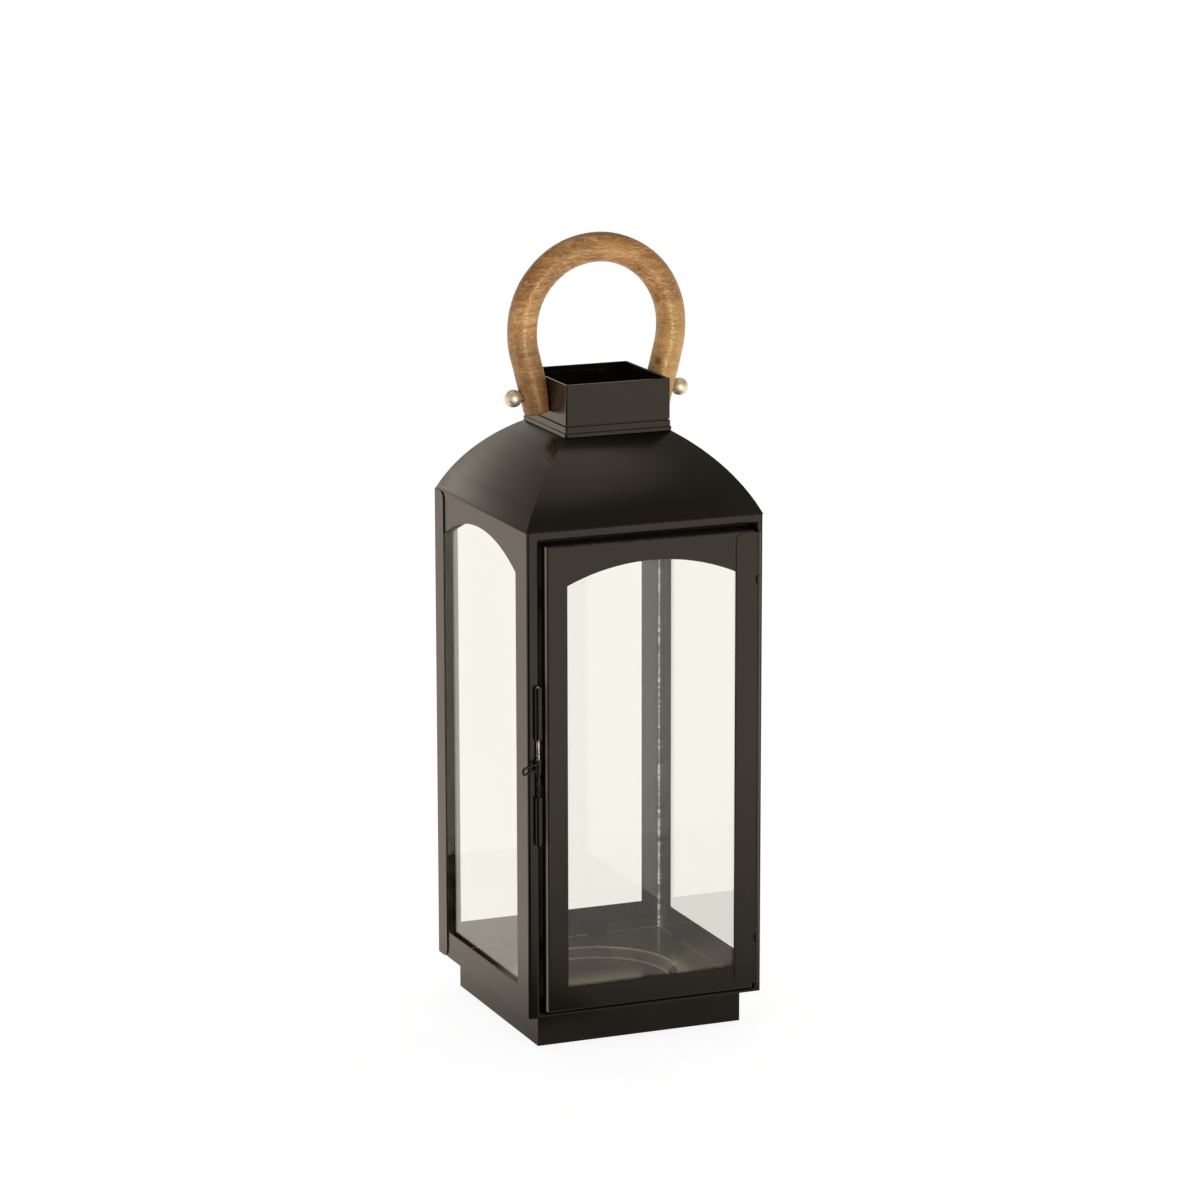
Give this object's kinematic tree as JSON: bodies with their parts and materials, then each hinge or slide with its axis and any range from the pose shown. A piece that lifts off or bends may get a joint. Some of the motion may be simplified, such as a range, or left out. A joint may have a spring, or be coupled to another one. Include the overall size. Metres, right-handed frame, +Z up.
{
  "type": "candle lantern",
  "caption": "Tall square candle lantern with a curved hipped roof, open chimney, arched glazed windows, hinged glass door with a turning latch, and a round wooden bow handle.",
  "frame": {"origin": "centre of the underside of the base plate, where the lantern stands", "axes": "+Z up, -Y out of the door, +X to the right seen from the door side"},
  "size_m": [0.1687, 0.1731, 0.5058],
  "materials": {
    "coated_sheet": "satin powder coat",
    "coated_wire": "satin",
    "clear_glass": "clear float glass",
    "mango_wood": "oiled, satin",
    "satin_nickel": "satin nickel",
    "plain_steel": "plain",
    "nylon": "matt"
  },
  "bodies": {
    "lantern_body": {"plinth": "coated_sheet", "base_plate": "coated_sheet", "floor_tray": "coated_sheet", "front_frame": "coated_sheet", "back_wall": "coated_sheet", "left_wall": "coated_sheet", "right_wall": "coated_sheet", "roof": "coated_sheet", "chimney_collar": "coated_sheet", "chimney": "coated_sheet", "left_glass": "clear_glass", "right_glass": "clear_glass", "back_glass": "clear_glass", "lower_glass_clips": "coated_sheet", "upper_glass_clips": "coated_sheet", "frame_hinge_knuckles": "coated_sheet", "hinge_pins": "plain_steel", "latch_bracket": "coated_wire", "handle_bolts": "plain_steel", "handle_bolt_washers": "plain_steel", "handle_spacers": "nylon", "left_ball_knob": "satin_nickel", "right_ball_knob": "satin_nickel"},
    "door": {"door_frame": "coated_sheet", "door_hinge_strip": "coated_sheet", "door_glass": "clear_glass", "door_glass_clips": "coated_sheet"},
    "handle": {"wooden_handle": "mango_wood"},
    "latch": {"latch_spindle": "plain_steel", "latch_loop": "coated_wire"}
  },
  "joints": [
    {"name": "door_hinge", "type": "hinge", "parent": "lantern_body", "child": "door", "pos_m": [0.075, -0.0824, 0.175], "axis": [0, 0, 1], "range_deg": [0, 110]},
    {"name": "handle_swing", "type": "hinge", "parent": "lantern_body", "child": "handle", "pos_m": [0, 0, 0.4034], "axis": [1, 0, 0], "range_deg": [-108, 108]},
    {"name": "latch_turn", "type": "hinge", "parent": "lantern_body", "child": "latch", "pos_m": [-0.0737, -0.0824, 0.186], "axis": [0, 0, 1], "range_deg": [-20, 122]}
  ]
}
